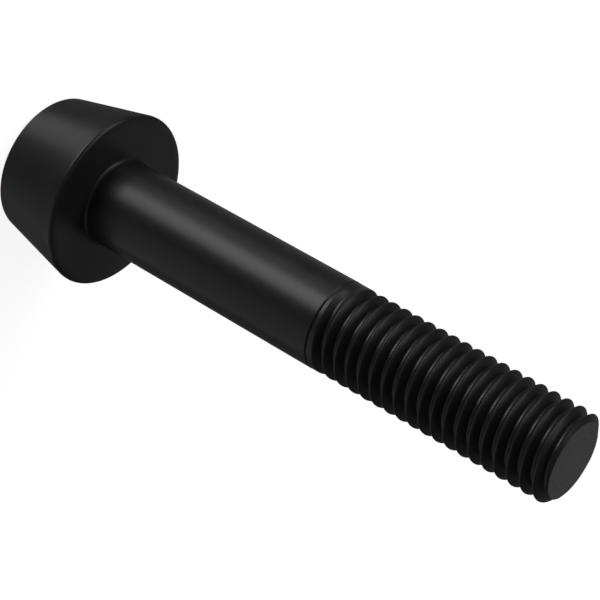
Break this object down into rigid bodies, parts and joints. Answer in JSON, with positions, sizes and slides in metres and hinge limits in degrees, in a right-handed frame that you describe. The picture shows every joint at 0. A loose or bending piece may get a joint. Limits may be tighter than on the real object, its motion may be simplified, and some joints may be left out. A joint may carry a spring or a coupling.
{
  "type": "bolt",
  "caption": "Socket bolt with a tapered head, a plain shank and a coarse right-hand thread, black finish.",
  "frame": {"origin": "centre of the flat end of the head, which the bolt stands on", "axes": "+Z along the bolt's axis from the head to the tip; +X towards a corner of the hexagon socket"},
  "size_m": [0.0202, 0.0202, 0.0702],
  "materials": {
    "black_steel": "satin black oxide on steel"
  },
  "bodies": {
    "root": {"bolt": "black_steel"}
  },
  "joints": []
}
